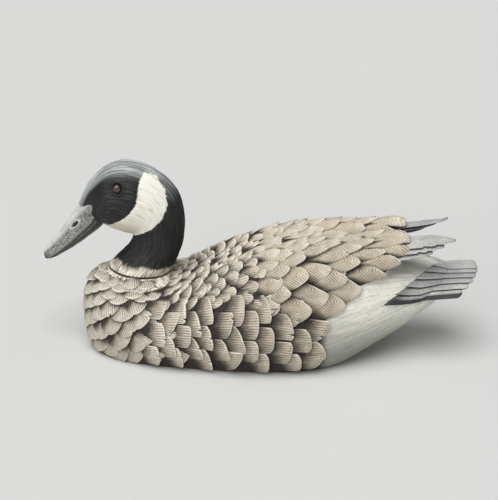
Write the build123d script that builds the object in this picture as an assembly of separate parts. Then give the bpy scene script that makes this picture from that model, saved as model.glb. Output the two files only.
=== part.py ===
"""Floating goose decoy: hollow carved body with a head that swivels on its neck seat.

Frame: the bird faces -X, its left side is -Y, +Z is up, and the flat base stands on Z = 0.
The origin is the middle of the overall outline, at the base. All sizes are in millimetres.
"""
from build123d import *
import math
import os

# ---------------------------------------------------------------- driving dimensions
SEAM_Z = 20.0                 # the two body halves meet at this height
FLOOR_Z = 11.0                # top of the hollow's flat floor
OVAL_POINTS = 16              # points round each lofted section
BELLY_SQUARENESS = 3.2        # superellipse exponent of the hull below its widest height

SEAT_X, SEAT_Z = -55.5, 36.0  # centre of the neck seat
SEAT_R = 14.5                 # radius of the neck seat
SEAT_TILT = 6.0               # degrees that the swivel axis leans towards the tail
SEAT_ROOF = 8.0               # wood between the seat and the hollow under it
SEAT_ROOM_R = 8.5             # flat spot of the hollow's roof under the seat
LEATHER_T = 0.8               # leather washer between body and neck
LEATHER_R = 12.5
AXIAL_GAP = 0.05              # running gap above the leather washer and under the bushing
TURNING_GAP = 0.05            # radial clearance of the turning fits

BOLT_R = 2.0                  # M4 neck bolt
BOLT_HEAD_ACROSS, BOLT_HEAD_T = 7.0, 2.8
BOLT_GRIP = 7.0               # how far the bolt and its insert reach above the seat
INSERT_R = 3.0
BUSH_R, BUSH_FLANGE_R, BUSH_FLANGE_T = 4.0, 7.0, 1.2
WASHER_R, WASHER_T = 5.5, 0.8
SPRING_R, SPRING_T, SPRING_GAP = 4.2, 0.9, 0.8
FOOT_INSET = 0.1              # the neck's foot is this much smaller than the seat

HEAD_JOINT_X, HEAD_JOINT_Z = -43.3, 56.0  # a point on the plane where the head block meets the neck block
HEAD_JOINT_LEAN = -28.0       # degrees that this plane's normal leans, towards the bill
HEAD_DOWEL_R, HEAD_DOWEL_HALF = 2.2, 7.0

HEAD_X, HEAD_Z = -60.2, 69.3  # middle of the head
HEAD_HALF = (22.5, 12.4, 18.2)  # along the head, across it, and square to both
HEAD_PITCH = 34.0             # degrees that the head points down
BILL_X, BILL_Z = -76.6, 59.2  # middle of the bill's root, on the face
BILL_DROP = 38.0              # degrees that the bill points down
BILL_DOWEL_R, BILL_DOWEL_HALF = 1.6, 6.0
EYE_R = 2.0
EYE_X, EYE_Y, EYE_Z = -62.5, 10.5, 76.5

FLANK_CENTRE = (-5.0, 25.0, 17.5)
FLANK_HALF = (35.0, 15.5, 20.0)

TAIL_TIP_Z = 42.3             # top of the tail fan's ridge at its tip
TAIL_RISE = 6.5               # degrees that the fan slopes up towards its tip
TAIL_ARCH_R = 27.0            # outside radius of the fan's arch
TAIL_T = 2.4
TAIL_ROOT_X, TAIL_WIDE_X, TAIL_TIP_X = 60.0, 89.0, 100.0
TAIL_ROOT_HALF, TAIL_WIDE_HALF = 17.5, 18.8

PRIMARIES = 3                 # inserted wing-tip feathers on each side
PRIMARY_X, PRIMARY_Y, PRIMARY_Z = 50.0, 11.5, 51.6  # root of the innermost one
PRIMARY_LENGTH, PRIMARY_HALF, PRIMARY_T = 37.5, 5.6, 1.1
PRIMARY_SHORTER, PRIMARY_OUT, PRIMARY_DOWN = 5.0, 0.9, 1.7  # steps from each one to the next
PRIMARY_RISE, PRIMARY_ROLL = 8.5, 12.0

BALLAST_SIZE = (64.0, 22.0, 4.5)
BALLAST_X = 4.0
BALLAST_CORNER = 3.0
BALLAST_SCREW_X = 24.0        # each screw's distance from the weight's middle
SCREW_R, SCREW_HEAD_R, SCREW_HEAD_T, SCREW_DEPTH, SCREW_SLOT_W = 1.5, 3.0, 1.4, 7.0, 0.7

DOWEL_R, DOWEL_HALF = 2.0, 5.0
DOWELS = [(-26.0, 31.5), (30.0, 31.0)]  # X and Y of the dowels that key the body halves, on each side

RING_X = -44.0                # pivot of the line ring
RING_R, RING_WIRE_R, RING_BEND_R = 7.5, 0.9, 2.0
RECESS_LOW_X, RECESS_HIGH_X, RECESS_HALF_Y, RECESS_DEPTH = -57.0, -32.0, 11.0, 5.0
RECESS_CORNER = 3.0
SADDLE_HALF_Y, SADDLE_T, SADDLE_LENGTH = 5.0, 0.8, 9.0
SADDLE_SCREW_X, SADDLE_SCREW_Y = 5.6, 2.7
SADDLE_SCREW_R, SADDLE_HEAD_R, SADDLE_HEAD_T, SADDLE_SCREW_DEPTH, SADDLE_SLOT_W = 0.9, 1.7, 0.9, 4.2, 0.4
RING_Z = RECESS_DEPTH - SADDLE_T - TURNING_GAP - RING_WIRE_R

# Stations of the hull: X, half width, bottom, widest height, top.
HULL = [
    (-81.6, 5.0, 12.0, 18.0, 23.0), (-80.2, 11.0, 6.0, 18.0, 29.0), (-77.0, 17.5, -1.0, 18.0, 33.0),
    (-71.0, 24.0, -6.0, 18.0, 35.0), (-61.0, 30.0, -8.0, 18.0, 34.5), (-47.0, 34.5, -8.0, 18.0, 33.0),
    (-30.0, 37.0, -8.0, 18.5, 34.2), (-13.0, 38.5, -8.0, 19.0, 42.0), (4.0, 39.0, -8.0, 20.0, 47.8),
    (22.0, 37.5, -6.5, 21.5, 50.8), (37.0, 33.5, -2.5, 24.0, 51.6), (50.0, 28.0, 4.5, 28.0, 49.8),
    (62.0, 22.0, 11.5, 30.5, 45.2), (73.0, 17.0, 19.5, 32.5, 42.9), (82.0, 12.0, 27.0, 34.0, 40.8),
    (87.0, 7.0, 32.0, 35.5, 39.0),
]
# Stations of the hollow inside it. Its floor is cut flat at FLOOR_Z.
HOLLOW = [
    (-68.0, 7.0, 8.0, 16.0, 22.0), (-62.0, 15.0, 6.0, 16.0, 27.0), (-50.0, 23.0, 4.0, 16.0, 28.0),
    (-33.0, 28.0, 2.0, 17.0, 29.0), (-13.0, 31.0, 2.0, 18.0, 35.5), (4.0, 31.5, 2.0, 19.0, 41.0),
    (22.0, 29.5, 4.0, 20.0, 43.0), (37.0, 25.0, 8.0, 22.0, 41.5), (48.0, 18.0, 15.0, 26.0, 39.5),
    (56.0, 10.0, 23.0, 30.0, 37.0),
]
# Stations of the left wing: X, Y and Z of the centre, half width, half thickness, roll in degrees.
WING = [
    (-36.0, -23.5, 27.5, 4.5, 3.0, 48.0), (-26.0, -24.0, 29.5, 9.5, 4.8, 44.0),
    (-8.0, -22.5, 35.5, 14.0, 7.0, 40.0), (12.0, -20.5, 40.6, 15.5, 8.0, 38.0),
    (32.0, -17.5, 45.0, 14.5, 7.5, 36.0), (48.0, -15.0, 48.5, 12.0, 5.8, 35.0),
    (60.0, -13.0, 51.8, 8.8, 4.4, 34.0), (66.5, -12.0, 53.3, 6.0, 3.0, 34.0),
]
# Stations of the neck above the seat: X and Z of its throat side, X and Z of its nape side, half width.
# The last ones lie inside the head.
NECK = [
    (-61.5, 43.0, -37.6, 42.5, 11.4), (-54.6, 48.0, -35.0, 49.0, 9.8), (-52.8, 52.0, -34.3, 57.5, 9.4),
    (-53.5, 57.0, -34.9, 65.5, 9.8), (-55.5, 62.5, -38.0, 73.5, 10.2), (-58.5, 67.0, -45.0, 79.5, 9.4),
]
# Stations of the bill: distance from its root, half width, half height, drop of its centre.
BILL = [
    (0.0, 7.2, 8.4, 0.0), (8.0, 6.6, 6.8, 0.5), (15.0, 6.0, 5.5, 1.0), (22.0, 5.6, 4.2, 1.3),
    (27.0, 4.9, 3.0, 1.5), (29.6, 3.0, 1.7, 1.6),
]


# ---------------------------------------------------------------- helpers
def signed_power(value, exponent):
    """Power that keeps the sign of its base."""
    return math.copysign(abs(value) ** exponent, value)


def rounded_section(plane, half_w, up, down, exponent=2.0):
    """Closed face with local x across and local y up.

    It is elliptical above its widest line. Below, it is a superellipse of this exponent.
    """
    points = []
    for k in range(OVAL_POINTS):
        a = 2 * math.pi * k / OVAL_POINTS
        c, s = math.cos(a), math.sin(a)
        if s < 0:
            c, s = signed_power(c, 2 / exponent), signed_power(s, 2 / exponent)
        points.append((half_w * c, (up if s > 0 else down) * s))
    return plane * make_face(Spline(*points, periodic=True))


def across(x, z):
    """Plane square to X, with local x along Y and local y up."""
    return Plane(origin=(x, 0, z), x_dir=(0, 1, 0), z_dir=(1, 0, 0))


def leaning(x, z, lean):
    """Plane whose normal leans from straight up towards +X, with local y towards the tail or upwards."""
    a = math.radians(lean)
    return Plane(origin=(x, 0, z), x_dir=(0, -1, 0), z_dir=(math.sin(a), 0, math.cos(a)))


def hull_loft(stations, exponent):
    """Solid through rounded sections square to X."""
    faces = []
    for x, half, low, widest, high in stations:
        faces.append(rounded_section(across(x, widest), half, high - widest, widest - low, exponent))
    return loft(faces)


def above(z):
    """Everything above this height."""
    return Pos(0, 0, z + 100) * Box(400, 400, 200)


def below(z):
    """Everything below this height."""
    return Pos(0, 0, z - 100) * Box(400, 400, 200)


def drum(plane, radius, low, high):
    """Cylinder about a plane's normal, from low to high along it."""
    return plane * Pos(0, 0, (low + high) / 2) * Cylinder(radius, high - low)


def tube(plane, outer, inner, low, high):
    """Drum with a hole right through it."""
    return drum(plane, outer, low, high) - drum(plane, inner, low - 1, high + 1)


def upright(x, y, z=0.0):
    """Plane at a point, facing straight up."""
    return Plane(origin=(x, y, z), x_dir=(1, 0, 0), z_dir=(0, 0, 1))


SEAT = leaning(SEAT_X, SEAT_Z, SEAT_TILT)
HEAD_JOINT = leaning(HEAD_JOINT_X, HEAD_JOINT_Z, HEAD_JOINT_LEAN)
BILL_ROOT = leaning(BILL_X, BILL_Z, -90 - BILL_DROP)
BUSH_LOW = -SEAT_ROOF - BUSH_FLANGE_T
WASHER_TOP = BUSH_LOW - AXIAL_GAP
SPRING_TOP = WASHER_TOP - WASHER_T
BOLT_HEAD_TOP = SPRING_TOP - SPRING_T


# ---------------------------------------------------------------- body
def flank(side):
    """Bulging side pocket of flank feathers. Side is -1 for the bird's left and 1 for its right."""
    x, y, z = FLANK_CENTRE
    return Pos(x, y * side, z) * scale(Sphere(1), by=FLANK_HALF)


def wing(side):
    """Folded wing, lying along the back and standing proud of the rump at its tip."""
    faces = []
    for x, y, z, half_w, half_t, roll in WING:
        a = math.radians(roll)
        plane = Plane(origin=(x, -y * side, z), x_dir=(0, side * math.cos(a), -math.sin(a)), z_dir=(1, 0, 0))
        faces.append(rounded_section(plane, half_w, half_t, half_t))
    return loft(faces)


def body_outside():
    """The whole carved body, solid: hull, neck stump, flank pockets and wings."""
    stump = loft([
        rounded_section(leaning(-57.0, 14.0, 0.0), 24.0, 24.0, 24.0),
        rounded_section(leaning(-57.0, 27.0, 3.0), 18.5, 19.0, 19.0),
        rounded_section(SEAT, SEAT_R, SEAT_R, SEAT_R),
    ])
    body = hull_loft(HULL, BELLY_SQUARENESS) + stump
    for side in (-1, 1):
        body += flank(side)
        body += wing(side)
    return (body & above(0)) - drum(SEAT, SEAT_R, 0, SEAT_R)


def hollow():
    """The space inside the body, with a flat spot of roof under the neck seat."""
    room = hull_loft(HOLLOW, BELLY_SQUARENESS) & above(FLOOR_Z)
    return room + drum(SEAT, SEAT_ROOM_R, -SEAT_ROOF - 9, -SEAT_ROOF)


def line_recess():
    """Pocket in the underside that the line ring folds up into."""
    length, width = RECESS_HIGH_X - RECESS_LOW_X, 2 * RECESS_HALF_Y
    outline = RectangleRounded(length, width, RECESS_CORNER)
    return extrude(Pos((RECESS_LOW_X + RECESS_HIGH_X) / 2, 0, 0) * outline, RECESS_DEPTH)


def tail_fan():
    """Arched fan of tail feathers, one piece, let into the rump."""
    tip = Pos(TAIL_TIP_X, 0, TAIL_TIP_Z) * Rot(0, -TAIL_RISE, 0)
    barrel = Rot(0, 90, 0) * Cylinder(TAIL_ARCH_R, 300)
    arch = tip * (Pos(0, 0, -TAIL_ARCH_R) * barrel - Pos(0, 0, -TAIL_ARCH_R - TAIL_T) * barrel)
    root, wide = TAIL_ROOT_HALF, TAIL_WIDE_HALF
    outline = make_face(
        Line((TAIL_ROOT_X, root), (TAIL_ROOT_X, -root)) + Line((TAIL_ROOT_X, -root), (TAIL_WIDE_X, -wide))
        + ThreePointArc((TAIL_WIDE_X, -wide), (TAIL_TIP_X, 0), (TAIL_WIDE_X, wide))
        + Line((TAIL_WIDE_X, wide), (TAIL_ROOT_X, root)))
    return arch & extrude(outline, 100)


def primary(side, number):
    """One wing-tip feather, a thin pointed blade let into the wing. Number 0 is the innermost."""
    length, half = PRIMARY_LENGTH - PRIMARY_SHORTER * number, PRIMARY_HALF
    shoulder = 0.6 * length
    outline = make_face(
        Line((0, -half), (0, half)) + Line((0, half), (shoulder, half))
        + ThreePointArc((shoulder, half), (0.88 * length, 0.45 * half), (length, -0.5 * half))
        + ThreePointArc((length, -0.5 * half), (0.8 * length, -0.95 * half), (shoulder, -half))
        + Line((shoulder, -half), (0, -half)))
    blade = extrude(outline, PRIMARY_T)
    if side > 0:
        blade = mirror(blade, Plane.XZ)
    out, down = PRIMARY_Y + PRIMARY_OUT * number, PRIMARY_DOWN * number
    return Pos(PRIMARY_X, side * out, PRIMARY_Z - down) * Rot(-side * PRIMARY_ROLL, -PRIMARY_RISE, 0) * blade


def body_dowels():
    """Four pegs that key the body halves together."""
    return [
        drum(upright(x, side * y, SEAM_Z), DOWEL_R, -DOWEL_HALF, DOWEL_HALF)
        for x, y in DOWELS for side in (-1, 1)
    ]


def ballast_weight():
    """Cast bar on the hollow's floor, with a hole for each of its screws."""
    length, width, height = BALLAST_SIZE
    bar = extrude(Pos(BALLAST_X, 0, FLOOR_Z) * RectangleRounded(length, width, BALLAST_CORNER), height)
    for x in (-BALLAST_SCREW_X, BALLAST_SCREW_X):
        bar -= drum(upright(BALLAST_X + x, 0, FLOOR_Z), SCREW_R, -1, height + 1)
    return bar


def ballast_screws():
    """Round-head wood screws, down through the weight into the floor."""
    top = BALLAST_SIZE[2]
    screws = []
    for x in (-BALLAST_SCREW_X, BALLAST_SCREW_X):
        place = upright(BALLAST_X + x, 0, FLOOR_Z)
        head = drum(place, SCREW_HEAD_R, top, top + SCREW_HEAD_T)
        slot = place * Pos(0, 0, top + SCREW_HEAD_T) * Box(2 * SCREW_HEAD_R, SCREW_SLOT_W, SCREW_HEAD_T)
        screws.append(head - slot + drum(place, SCREW_R, -SCREW_DEPTH, top))
    return screws


# ---------------------------------------------------------------- line ring
def line_ring():
    """D-shaped ring for the anchor line, folded up flat. Its straight side turns in the saddle."""
    bend = RING_R - RING_BEND_R
    profile = Plane(origin=(RING_X, 0, RING_Z), x_dir=(1, 0, 0), z_dir=(0, 1, 0)) * Circle(RING_WIRE_R)
    path = (
        Line((RING_X, 0, RING_Z), (RING_X, bend, RING_Z))
        + ThreePointArc(
            (RING_X, bend, RING_Z),
            (RING_X - RING_BEND_R * (1 - math.sqrt(0.5)), bend + RING_BEND_R * math.sqrt(0.5), RING_Z),
            (RING_X - RING_BEND_R, RING_R, RING_Z))
        + ThreePointArc(
            (RING_X - RING_BEND_R, RING_R, RING_Z), (RING_X - RING_BEND_R - RING_R, 0, RING_Z),
            (RING_X - RING_BEND_R, -RING_R, RING_Z))
        + ThreePointArc(
            (RING_X - RING_BEND_R, -RING_R, RING_Z),
            (RING_X - RING_BEND_R * (1 - math.sqrt(0.5)), -bend - RING_BEND_R * math.sqrt(0.5), RING_Z),
            (RING_X, -bend, RING_Z))
        + Line((RING_X, -bend, RING_Z), (RING_X, 0, RING_Z)))
    return sweep(profile, path=path)


def saddle_screw_places():
    """Planes on the underside of the saddle's plate, facing down, one for each screw."""
    z = RECESS_DEPTH - SADDLE_T
    return [
        Plane(origin=(RING_X + SADDLE_SCREW_X, y, z), x_dir=(1, 0, 0), z_dir=(0, 0, -1))
        for y in (-SADDLE_SCREW_Y, SADDLE_SCREW_Y)
    ]


def ring_saddle():
    """Bent brass strip: an eye round the ring's straight side and a plate against the recess's roof."""
    barrel = Plane(origin=(RING_X, 0, RING_Z), x_dir=(1, 0, 0), z_dir=(0, 1, 0))
    eye_r = RING_WIRE_R + TURNING_GAP
    eye = drum(barrel, eye_r + SADDLE_T, -SADDLE_HALF_Y, SADDLE_HALF_Y)
    plate = Pos(RING_X + SADDLE_LENGTH / 2, 0, RECESS_DEPTH - SADDLE_T / 2) * Box(
        SADDLE_LENGTH, 2 * SADDLE_HALF_Y, SADDLE_T)
    saddle = eye + plate - drum(barrel, eye_r, -SADDLE_HALF_Y - 1, SADDLE_HALF_Y + 1)
    for place in saddle_screw_places():
        saddle -= drum(place, SADDLE_SCREW_R, -SADDLE_T - 1, 1)
    return saddle & below(RECESS_DEPTH)


def saddle_screws():
    """Small round-head screws, up through the saddle's plate into the body."""
    screws = []
    for place in saddle_screw_places():
        head = drum(place, SADDLE_HEAD_R, 0, SADDLE_HEAD_T)
        slot = place * Pos(0, 0, SADDLE_HEAD_T) * Box(2 * SADDLE_HEAD_R, SADDLE_SLOT_W, SADDLE_HEAD_T)
        screws.append(head - slot + drum(place, SADDLE_SCREW_R, -SADDLE_SCREW_DEPTH, 0))
    return screws


# ---------------------------------------------------------------- swivel
def seat_washer():
    """Leather washer glued to the seat, which the neck turns on."""
    return tube(SEAT, LEATHER_R, BUSH_R, 0, LEATHER_T)


def neck_bushing():
    """Flanged brass bushing, let up into the seat from inside the hollow."""
    shank = tube(SEAT, BUSH_R, BOLT_R + TURNING_GAP, -SEAT_ROOF, LEATHER_T)
    flange = tube(SEAT, BUSH_FLANGE_R, BOLT_R + TURNING_GAP, BUSH_LOW, -SEAT_ROOF)
    return shank + flange


def neck_washer():
    return tube(SEAT, WASHER_R, BOLT_R, SPRING_TOP, WASHER_TOP)


def spring_washer():
    """Split spring washer, drawn flat, which keeps the head's friction."""
    gap = SEAT * Pos(SPRING_R, 0, (SPRING_TOP + BOLT_HEAD_TOP) / 2) * Box(2 * SPRING_R, SPRING_GAP, 2)
    return tube(SEAT, SPRING_R, BOLT_R, BOLT_HEAD_TOP, SPRING_TOP) - gap


def neck_bolt():
    """Hex bolt, up through the bushing into the neck's insert."""
    hexagon = RegularPolygon(BOLT_HEAD_ACROSS / 2, 6, major_radius=False)
    head = extrude(SEAT.offset(BOLT_HEAD_TOP - BOLT_HEAD_T) * hexagon, BOLT_HEAD_T)
    return head + drum(SEAT, BOLT_R, BOLT_HEAD_TOP, BOLT_GRIP)


def neck_insert():
    """Brass insert screwed up into the neck, flush with its foot."""
    return tube(SEAT, INSERT_R, BOLT_R, LEATHER_T + AXIAL_GAP, BOLT_GRIP)


# ---------------------------------------------------------------- head
def neck_and_head():
    """Neck and head in one, before they are parted at the head joint."""
    foot = SEAT_R - FOOT_INSET
    faces = [rounded_section(SEAT.offset(LEATHER_T + AXIAL_GAP), foot, foot, foot)]
    for throat_x, throat_z, nape_x, nape_z, half_w in NECK:
        half = math.hypot(nape_x - throat_x, nape_z - throat_z) / 2
        lean = -math.degrees(math.atan2(nape_z - throat_z, nape_x - throat_x))
        plane = leaning((throat_x + nape_x) / 2, (throat_z + nape_z) / 2, lean)
        faces.append(rounded_section(plane, half_w, half, half))
    skull = Pos(HEAD_X, 0, HEAD_Z) * Rot(0, -HEAD_PITCH, 0) * scale(Sphere(1), by=HEAD_HALF)
    return loft(faces) + (skull & slab(BILL_ROOT, False))


def slab(plane, over):
    """Everything over a plane, or everything under it."""
    return plane * Pos(0, 0, 100 if over else -100) * Box(300, 300, 200)


def eye(side):
    """Glass eye, a ball half sunk in its socket."""
    return Pos(EYE_X, side * EYE_Y, EYE_Z) * Sphere(EYE_R)


def bill():
    """Bill in one piece, flat across its root."""
    faces = []
    for distance, half_w, half_h, drop in BILL:
        faces.append(rounded_section(BILL_ROOT.offset(distance) * Pos(0, -drop, 0), half_w, half_h, half_h))
    return loft(faces)


# ---------------------------------------------------------------- assembly
def build():
    """Every node, by name."""
    nodes = {}
    outside, room = body_outside(), hollow()
    nodes["tail_fan"] = tail_fan()
    for side, name in ((-1, "left"), (1, "right")):
        for number in range(PRIMARIES):
            nodes[f"primary_{name}_{number + 1}"] = primary(side, number)
    nodes["body_dowels"] = body_dowels()
    nodes["seat_washer"] = seat_washer()
    nodes["neck_bushing"] = neck_bushing()
    shell = outside - room - line_recess()
    for feather in [node for name, node in nodes.items() if name.startswith(("tail", "primary"))]:
        shell -= feather
    shell -= drum(SEAT, BUSH_R, -SEAT_ROOF - 1, 1)
    for dowel in nodes["body_dowels"]:
        shell -= dowel
    nodes["ballast_weight"] = ballast_weight()
    nodes["ballast_screws"] = ballast_screws()
    nodes["line_ring"] = line_ring()
    nodes["ring_saddle"] = ring_saddle()
    nodes["saddle_screws"] = saddle_screws()
    for screw in nodes["ballast_screws"] + nodes["saddle_screws"]:
        shell -= screw
    nodes["upper_body"] = shell & above(SEAM_Z)
    nodes["lower_body"] = shell & below(SEAM_Z)

    nodes["neck_washer"] = neck_washer()
    nodes["spring_washer"] = spring_washer()
    nodes["neck_bolt"] = neck_bolt()
    nodes["neck_insert"] = neck_insert()
    nodes["eye_left"] = eye(-1)
    nodes["eye_right"] = eye(1)
    nodes["bill"] = bill()
    nodes["head_dowel"] = drum(HEAD_JOINT, HEAD_DOWEL_R, -HEAD_DOWEL_HALF, HEAD_DOWEL_HALF)
    nodes["bill_dowel"] = drum(BILL_ROOT, BILL_DOWEL_R, -BILL_DOWEL_HALF, BILL_DOWEL_HALF)
    carved = neck_and_head()
    for name in ("eye_left", "eye_right", "head_dowel", "bill_dowel"):
        carved -= nodes[name]
    carved -= drum(SEAT, INSERT_R, 0, BOLT_GRIP)
    nodes["head"] = carved & slab(HEAD_JOINT, True)
    nodes["neck"] = carved & slab(HEAD_JOINT, False)
    nodes["bill"] -= nodes["bill_dowel"]
    return nodes


if __name__ == "__main__":
    os.makedirs("parts", exist_ok=True)
    for node_name, shape in build().items():
        node = Compound(children=shape) if isinstance(shape, list) else shape
        export_step(node, f"parts/{node_name}.step")
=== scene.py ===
"""Looks of the floating goose decoy: carved feathers, painted head and bill, floor, lights and camera.

Everything is in metres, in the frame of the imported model: the bird faces -X, its left side is -Y.
"""
import itertools
import math

import bmesh
import bpy
import numpy as np
import openvdb
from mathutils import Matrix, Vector


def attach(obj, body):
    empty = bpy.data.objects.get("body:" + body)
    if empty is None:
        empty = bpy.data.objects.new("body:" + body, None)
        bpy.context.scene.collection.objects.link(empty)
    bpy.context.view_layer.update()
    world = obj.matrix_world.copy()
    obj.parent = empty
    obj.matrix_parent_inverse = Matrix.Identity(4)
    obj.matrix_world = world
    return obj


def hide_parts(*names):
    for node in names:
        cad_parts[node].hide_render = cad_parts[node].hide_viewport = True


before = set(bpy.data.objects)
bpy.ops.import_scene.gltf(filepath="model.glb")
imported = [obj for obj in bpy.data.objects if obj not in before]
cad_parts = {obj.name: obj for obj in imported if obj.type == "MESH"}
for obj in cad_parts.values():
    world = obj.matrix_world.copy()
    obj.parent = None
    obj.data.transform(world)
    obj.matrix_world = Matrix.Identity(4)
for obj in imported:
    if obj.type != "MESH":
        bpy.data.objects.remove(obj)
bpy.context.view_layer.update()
MM = 0.001
SIDES = (-1, 1)               # the bird's left, then its right


# ---------------------------------------------------------------- number helpers
def smooth(low, high, x):
    """Smooth step from 0 at low to 1 at high."""
    t = np.clip((np.asarray(x, float) - low) / (high - low), 0, 1)
    return t * t * (3 - 2 * t)


def unit(v):
    return v / np.maximum(np.linalg.norm(v, axis=-1, keepdims=True), 1e-12)


def lattice_value(ix, iy, iz, seed):
    """Repeatable pseudo-random number from 0 to 1 for each lattice point."""
    h = ix * 374761393 + iy * 668265263 + iz * 2147483647 + seed * 974634777
    h = (h ^ (h >> 13)) * 1274126177
    h = h ^ (h >> 16)
    return (h & 0xFFFF) / 65535.0


def cell_corners(f):
    """Each corner of a grid cell, with its share at places f within the cell, from 0 to 1."""
    for corner in itertools.product((0, 1), repeat=3):
        x, y, z = (f[..., k] if corner[k] else 1 - f[..., k] for k in range(3))
        yield np.array(corner), x * y * z


def noise(points, scale, seed=0):
    """Smooth value noise from -1 to 1 at points, with one scale, or one for each axis."""
    p = np.asarray(points, float) * np.asarray(scale, float)
    base = np.floor(p).astype(np.int64)
    f = p - base
    f = f * f * (3 - 2 * f)
    total = 0.0
    for corner, w in cell_corners(f):
        place = base + corner
        total = total + w * lattice_value(place[..., 0], place[..., 1], place[..., 2], seed)
    return total * 2 - 1


def curve_points(knots, s):
    """Catmull-Rom curve through evenly spaced knots, at s from 0 to 1."""
    knots = np.asarray(knots, float)
    last = len(knots) - 1
    x = np.clip(np.asarray(s, float), 0, 1) * last
    i = np.minimum(x.astype(int), last - 1)
    t = (x - i).reshape(x.shape + (1,) * (knots.ndim - 1))
    a, b = knots[np.maximum(i - 1, 0)], knots[i]
    c, d = knots[i + 1], knots[np.minimum(i + 2, last)]
    a = np.where((i == 0).reshape(t.shape), 2 * b - c, a)
    d = np.where((i == last - 1).reshape(t.shape), 2 * c - b, d)
    square, cube = 2 * a - 5 * b + 4 * c - d, 3 * b - a - 3 * c + d
    return 0.5 * (2 * b + (c - a) * t + square * t ** 2 + cube * t ** 3)


# ---------------------------------------------------------------- meshes
def signed_volume(mesh):
    """Volume inside a closed mesh, negative where its faces look inwards."""
    mesh.calc_loop_triangles()
    corners, places = np.empty(3 * len(mesh.loop_triangles), int), np.empty(3 * len(mesh.vertices))
    mesh.loop_triangles.foreach_get("vertices", corners)
    mesh.vertices.foreach_get("co", places)
    a, b, c = np.moveaxis(places.reshape(-1, 3)[corners.reshape(-1, 3)], 1, 0)
    return float(np.einsum("ij,ij->", a, np.cross(b, c))) / 6


def main_island(shell):
    """Keep only the connected part of a bmesh that holds its front end."""
    seen = {min(shell.verts, key=lambda v: v.co.x)}
    front = list(seen)
    while front:
        found = {e.other_vert(v) for v in front for e in v.link_edges} - seen
        seen |= found
        front = list(found)
    bmesh.ops.delete(shell, geom=[v for v in shell.verts if v not in seen], context="VERTS")
    shell.verts.index_update()
    vertices = np.array([v.co for v in shell.verts])
    quads = np.array([[v.index for v in f.verts] for f in shell.faces if len(f.verts) == 4])
    shell.free()
    return vertices, quads


def new_piece(name, vertices, faces, material, body, replaces=(), attributes=None):
    """Closed mesh that rides on a body, its faces outwards, with point attributes for its material."""
    mesh = bpy.data.meshes.new(name)
    mesh.from_pydata(np.reshape(vertices, (-1, 3)).tolist(), [], [list(map(int, f)) for f in faces])
    mesh.validate()
    if signed_volume(mesh) < 0:
        mesh.flip_normals()
    mesh.polygons.foreach_set("use_smooth", np.ones(len(mesh.polygons), bool))
    for key, values in (attributes or {}).items():
        attribute = mesh.attributes.new(key, "FLOAT", "POINT")
        attribute.data.foreach_set("value", np.asarray(values, np.float32).ravel())
    mesh.materials.append(material)
    piece = bpy.data.objects.new(name, mesh)
    bpy.context.scene.collection.objects.link(piece)
    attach(piece, body)
    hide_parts(*replaces)
    return piece


def joined(parts):
    """A list of arrays as one array, or each list in a dict so."""
    if isinstance(parts, dict):
        return {key: np.concatenate(listed) for key, listed in parts.items()}
    return np.concatenate(parts)


def grid_places(rows, columns):
    """Place along from 0 to 1 and across from -1 to 1 of each point in a grid."""
    return np.meshgrid(np.linspace(0, 1, rows), np.linspace(-1, 1, columns), indexing="ij")


def sheet(rows, columns):
    """Quads of a grid, and its points in order round the rim."""
    grid = np.arange(rows * columns).reshape(rows, columns)
    quads = np.stack([grid[:-1, :-1], grid[1:, :-1], grid[1:, 1:], grid[:-1, 1:]], axis=-1).reshape(-1, 4)
    return quads, np.concatenate([grid[0, :-1], grid[:-1, -1], grid[-1, :0:-1], grid[:0:-1, 0]])


def slab(points_top, normals, thickness):
    """Closed slab under a grid of top points: vertices and faces."""
    bottom = points_top - normals * np.asarray(thickness)[..., None]
    vertices = np.concatenate([points_top.reshape(-1, 3), bottom.reshape(-1, 3)])
    quads, rim = sheet(*points_top.shape[:2])
    count, after = len(vertices) // 2, np.roll(rim, -1)
    walls = np.stack([rim, after, after + count, rim + count], axis=-1)
    return vertices, np.concatenate([quads, quads[:, ::-1] + count, walls])


def ring_faces(rows, columns):
    """Quads of a tube of closed rings, with both ends capped by one face."""
    faces = []
    for r in range(rows - 1):
        for c in range(columns):
            d = (c + 1) % columns
            faces.append((r * columns + c, r * columns + d, (r + 1) * columns + d, (r + 1) * columns + c))
    faces.append(tuple(range(columns - 1, -1, -1)))
    faces.append(tuple(range((rows - 1) * columns, rows * columns)))
    return faces


# ---------------------------------------------------------------- the body's skin
SKIN_NODES = ("upper_body", "lower_body", "body_dowels", "neck_bushing", "ballast_screws")
REMESH_PITCH = 0.9 * MM
PITCH = 1.0 * MM              # of the distance grid
GRID_MARGIN = 9 * MM
BAND = 9                      # cells on each side of the skin


def outer_shell(names, pitch):
    """Vertices and quads of one closed skin round these CAD nodes, without the hollow inside."""
    joined = bmesh.new()
    for name in names:
        joined.from_mesh(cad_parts[name].data)
    mesh = bpy.data.meshes.new("shell_source")
    joined.to_mesh(mesh)
    joined.free()
    source = bpy.data.objects.new("shell_source", mesh)
    bpy.context.scene.collection.objects.link(source)
    remesh = source.modifiers.new("voxels", "REMESH")
    remesh.mode = "VOXEL"
    remesh.voxel_size = pitch
    shell = bmesh.new()
    shell.from_object(source, bpy.context.evaluated_depsgraph_get())
    bpy.data.objects.remove(source)
    return main_island(shell)


def blurred(values, sigma):
    """Gaussian blur of a 3-D array, sigma in cells."""
    reach = int(math.ceil(3 * sigma))
    kernel = np.exp(-0.5 * (np.arange(-reach, reach + 1) / sigma) ** 2)
    kernel /= kernel.sum()
    for axis in range(3):
        padded = np.pad(values, [(reach, reach) if a == axis else (0, 0) for a in range(3)], mode="edge")
        size = values.shape[axis]
        values = sum(k * np.take(padded, range(i, i + size), axis=axis) for i, k in enumerate(kernel))
    return values


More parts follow.
